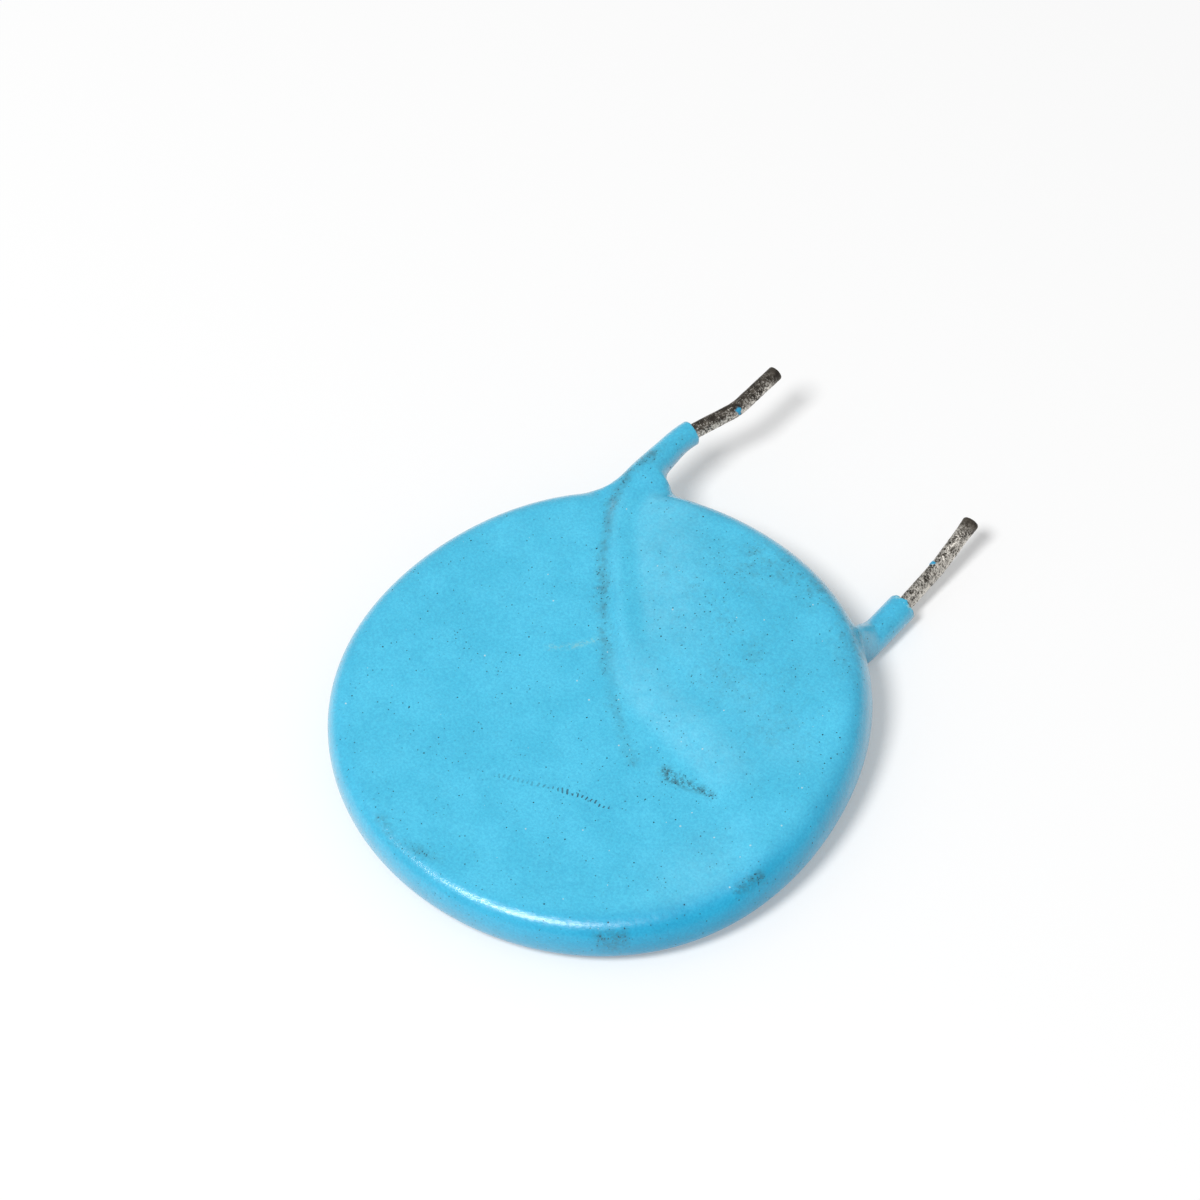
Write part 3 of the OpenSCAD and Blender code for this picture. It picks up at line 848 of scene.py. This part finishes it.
def lead_material():
    n = Nodes("tarnished_wire")
    crumb = n.attribute("fleck")
    coarse = n.noise(2.2, 4, 0.65)
    fine = n.noise(9.5, 4, 0.8, 0.4)
    mixed = n.plus(n.times(fine, 0.72), n.times(coarse, 0.28))
    # Worn tin from the noise, plus painted light from the side share
    level = n.plus(mixed, n.times(n.attribute("painted_side_light"), 0.16))
    worn_and_lit = n.times(n.steps(level, 0.52, 0.62), n.minus(1.0, n.attribute("tip")))
    color = n.blend(n.steps(coarse, 0.35, 0.65), *TARNISH)
    color = n.blend(worn_and_lit, color, WORN_TIN)
    color = n.blend(crumb, color, CRUMB)
    n.set(Base_Color=color, Metallic=n.minus(1.0, crumb))
    n.set(Roughness=n.steps(worn_and_lit, 0, 1, 0.58, 0.38), Normal=n.bump(mixed, 0.05))
    return n.material


def plain_material(name, color, roughness, metallic=0.0):
    n = Nodes(name)
    darker = tuple(c * 0.85 for c in color[:3]) + (1.0,)
    n.set(Base_Color=n.blend(n.steps(n.noise(4, 3), 0.4, 0.6), darker, color))
    n.set(Roughness=roughness, Metallic=metallic)
    return n.material


def dress(piece, material, node):
    piece.data.materials.clear()
    piece.data.materials.append(material)
    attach(piece, "root")
    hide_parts(node)


# ---- The object ----------------------------------------------------------------------

front_neck, back_neck = NECKS
dress(make_coat(), coat_material(), "epoxy_coating")
front_wire = make_lead("front_wire", FRONT_BENDS, front_neck, Matrix.Identity(4),
                       flatten=0.03, lip=0.1, painted_side_light=(-0.05, 0.5))
back_wire = make_lead("back_wire", BACK_BENDS, back_neck, TURNED_OVER,
                      flatten=0.12, lip=0.2, painted_side_light=(0.4, 0.6))
wire_look = lead_material()
dress(front_wire, wire_look, "front_lead")
dress(back_wire, wire_look, "back_lead")

silver = plain_material("fired_silver", rgb(228, 226, 220), 0.55, 1.0)
solder = plain_material("tin_solder", rgb(206, 207, 205), 0.35, 1.0)
INNER_LOOKS = {
    "zinc_oxide_disc": plain_material("zinc_oxide", rgb(98, 100, 94), 0.8),
    "front_electrode": silver,
    "back_electrode": silver,
    "front_solder": solder,
    "back_solder": solder,
}
for node, look in INNER_LOOKS.items():
    materials = frame["nodes"][node].data.materials
    materials.clear()
    materials.append(look)

# ---- Floor, light and camera ---------------------------------------------------------

# The view was found in a frame of its own: X right, Y away from the camera, Z up, in
# millimetres, with the disc's middle at DISC_SEEN_AT and the part turned by PART_TURN.
PART_TURN = 43.5
DISC_SEEN_AT = (-0.37, -1.672)
TARGET = (0, 7, 0)
ELEVATION = 53.5
ROLL = -4.0
DISTANCE = 330
PX_PER_MM = 19.736       # at the target, in a frame FRAME_PX wide
FRAME_PX = 1200
SENSOR_MM = 36

# In metres and watts
CLIP_START, CLIP_END = 0.01, 10
KEY_TOWARD = (-0.40, -0.38, 1.0)
KEY_DISTANCE = 0.6
KEY_SIZE = 0.2
KEY_WATTS = 2.65
WORLD_STRENGTH = 0.42
FLOOR_HALF = 3.0
FLOOR_ALBEDO = 0.7
FLOOR_GLOW = 0.262       # 1 is white

SEEN = (
    Matrix.Translation(DISC.translation * Vector((1, 1, 0)))
    @ turn("Z", PART_TURN)
    @ Matrix.Translation((-DISC_SEEN_AT[0], -DISC_SEEN_AT[1], 0))
)


def make_camera():
    e = math.radians(ELEVATION)
    back = Vector((0, -math.cos(e), math.sin(e)))
    look = back.to_track_quat("Z", "Y").to_matrix().to_4x4()
    data = bpy.data.cameras.new("camera")
    data.sensor_width = SENSOR_MM
    data.lens = SENSOR_MM * PX_PER_MM * DISTANCE / FRAME_PX
    data.clip_start, data.clip_end = CLIP_START, CLIP_END
    camera = bpy.data.objects.new("camera", data)
    bpy.context.scene.collection.objects.link(camera)
    m = SEEN @ Matrix.Translation(Vector(TARGET) + back * DISTANCE) @ look @ turn("Z", ROLL)
    m.translation *= MM
    camera.matrix_world = m
    bpy.context.scene.camera = camera


def make_key_lamp():
    data = bpy.data.lights.new("key", "AREA")
    data.shape = "DISK"
    data.size = KEY_SIZE
    data.energy = KEY_WATTS
    lamp = bpy.data.objects.new("key", data)
    bpy.context.scene.collection.objects.link(lamp)
    way = (SEEN.to_3x3() @ Vector(KEY_TOWARD)).normalized()
    lamp.location = way * KEY_DISTANCE
    lamp.rotation_euler = way.to_track_quat("Z", "Y").to_euler()


def make_world():
    world = bpy.data.worlds.new("studio")
    world.use_nodes = True
    backdrop = world.node_tree.nodes["Background"]
    backdrop.inputs["Color"].default_value = (1, 1, 1, 1)
    backdrop.inputs["Strength"].default_value = WORLD_STRENGTH
    bpy.context.scene.world = world


def make_floor():
    h = FLOOR_HALF
    floor = mesh_object("floor", [(-h, -h, 0), (h, -h, 0), (h, h, 0), (-h, h, 0)], [(0, 1, 2, 3)])
    n = Nodes("paper")
    n.set(Base_Color=(FLOOR_ALBEDO, FLOOR_ALBEDO, FLOOR_ALBEDO, 1), Roughness=0.9, Specular_IOR_Level=0.0)
    # The glow whitens what is seen of the floor, directly or in a reflection, and lights nothing
    rays = n.add("ShaderNodeLightPath").outputs
    seen = n.most(rays["Is Camera Ray"], rays["Is Glossy Ray"], rays["Is Transmission Ray"])
    n.set(Emission_Color=(1, 1, 1, 1), Emission_Strength=n.times(seen, FLOOR_GLOW))
    floor.data.materials.append(n.material)


make_camera()
make_floor()
make_world()
make_key_lamp()
bpy.context.scene.view_settings.view_transform = "Standard"
